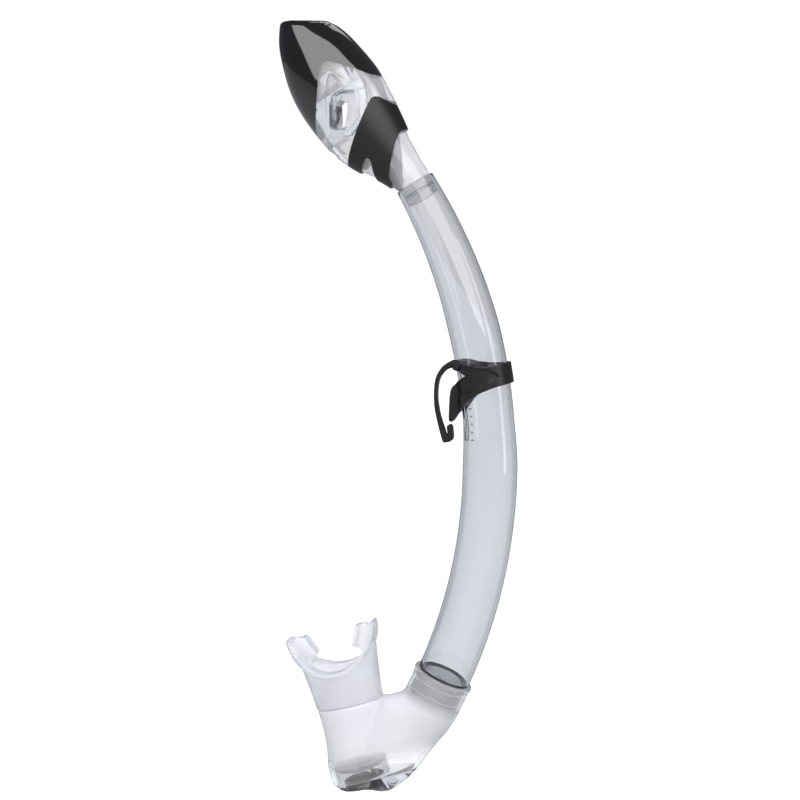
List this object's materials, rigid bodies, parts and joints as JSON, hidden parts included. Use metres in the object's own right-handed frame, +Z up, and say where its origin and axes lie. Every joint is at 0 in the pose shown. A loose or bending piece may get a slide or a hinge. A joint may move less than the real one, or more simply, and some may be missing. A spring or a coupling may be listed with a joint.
{
  "type": "snorkel tube",
  "caption": "Curved clear snorkel tube with a float-valve dry top, a strap keeper, a purge chamber and a soft bite mouthpiece.",
  "frame": {"origin": "centre of the bite, midway between the two bite tabs", "axes": "+Z up as worn, from the mouth to the dry top; +X towards the side on which the barrel bulges; +Y across the barrel, square to its plane of symmetry"},
  "size_m": [0.1382, 0.0378, 0.4456],
  "materials": {
    "clear_polycarbonate": "clear moulded polycarbonate, polished",
    "clear_vinyl": "clear soft moulded PVC, slightly milky",
    "clear_silicone": "clear liquid silicone rubber, satin",
    "gloss_black": "black ABS, high gloss",
    "satin_black": "black ABS, fine satin",
    "soft_black": "black soft thermoplastic rubber, satin",
    "float_white": "white closed-cell polypropylene",
    "seal_grey": "grey silicone rubber",
    "pin_steel": "ground stainless steel"
  },
  "bodies": {
    "mouth_end": {"purge_chamber": "clear_vinyl", "mouthpiece": "clear_silicone", "purge_seat": "clear_polycarbonate", "purge_cover": "satin_black"},
    "tube": {"barrel": "clear_polycarbonate", "socket_rings": "clear_silicone", "vent_housing": "clear_polycarbonate", "top_cap": "gloss_black", "splash_collar": "satin_black", "dry_top_oring": "seal_grey", "port_plate": "clear_polycarbonate", "lever_pin": "pin_steel"},
    "float": {"vent_float": "float_white", "float_lever": "clear_polycarbonate", "valve_seal": "seal_grey"},
    "keeper": {"keeper_band": "soft_black"},
    "hook": {"keeper_hook": "soft_black"},
    "membrane": {"purge_membrane": "seal_grey"}
  },
  "joints": [
    {"name": "barrel_swivel", "type": "hinge", "parent": "mouth_end", "child": "tube", "pos_m": [0.06509, 0, -0.0164], "axis": [0.4067, 0, 0.9135], "range_deg": [-30, 30]},
    {"name": "float_swing", "type": "hinge", "parent": "tube", "child": "float", "pos_m": [0.00429, 0, 0.33281], "axis": [0, 1, 0], "range_deg": [0, 9]},
    {"name": "keeper_slide", "type": "hinge", "parent": "tube", "child": "keeper", "pos_m": [-0.215, 0, 0.1083], "axis": [0, 1, 0], "range_deg": [-2.5, 2.5]},
    {"name": "hook_flex", "type": "hinge", "parent": "keeper", "child": "hook", "pos_m": [0.06846, 0, 0.16678], "axis": [0, 1, 0], "range_deg": [0, 12], "stiffness_Nm_per_rad": 0.5},
    {"name": "membrane_lift", "type": "slide", "parent": "mouth_end", "child": "membrane", "axis": [0.2588, 0, -0.9659], "range_m": [0, 0.0012], "stiffness_N_per_m": 30, "springref_m": -0.0005}
  ]
}
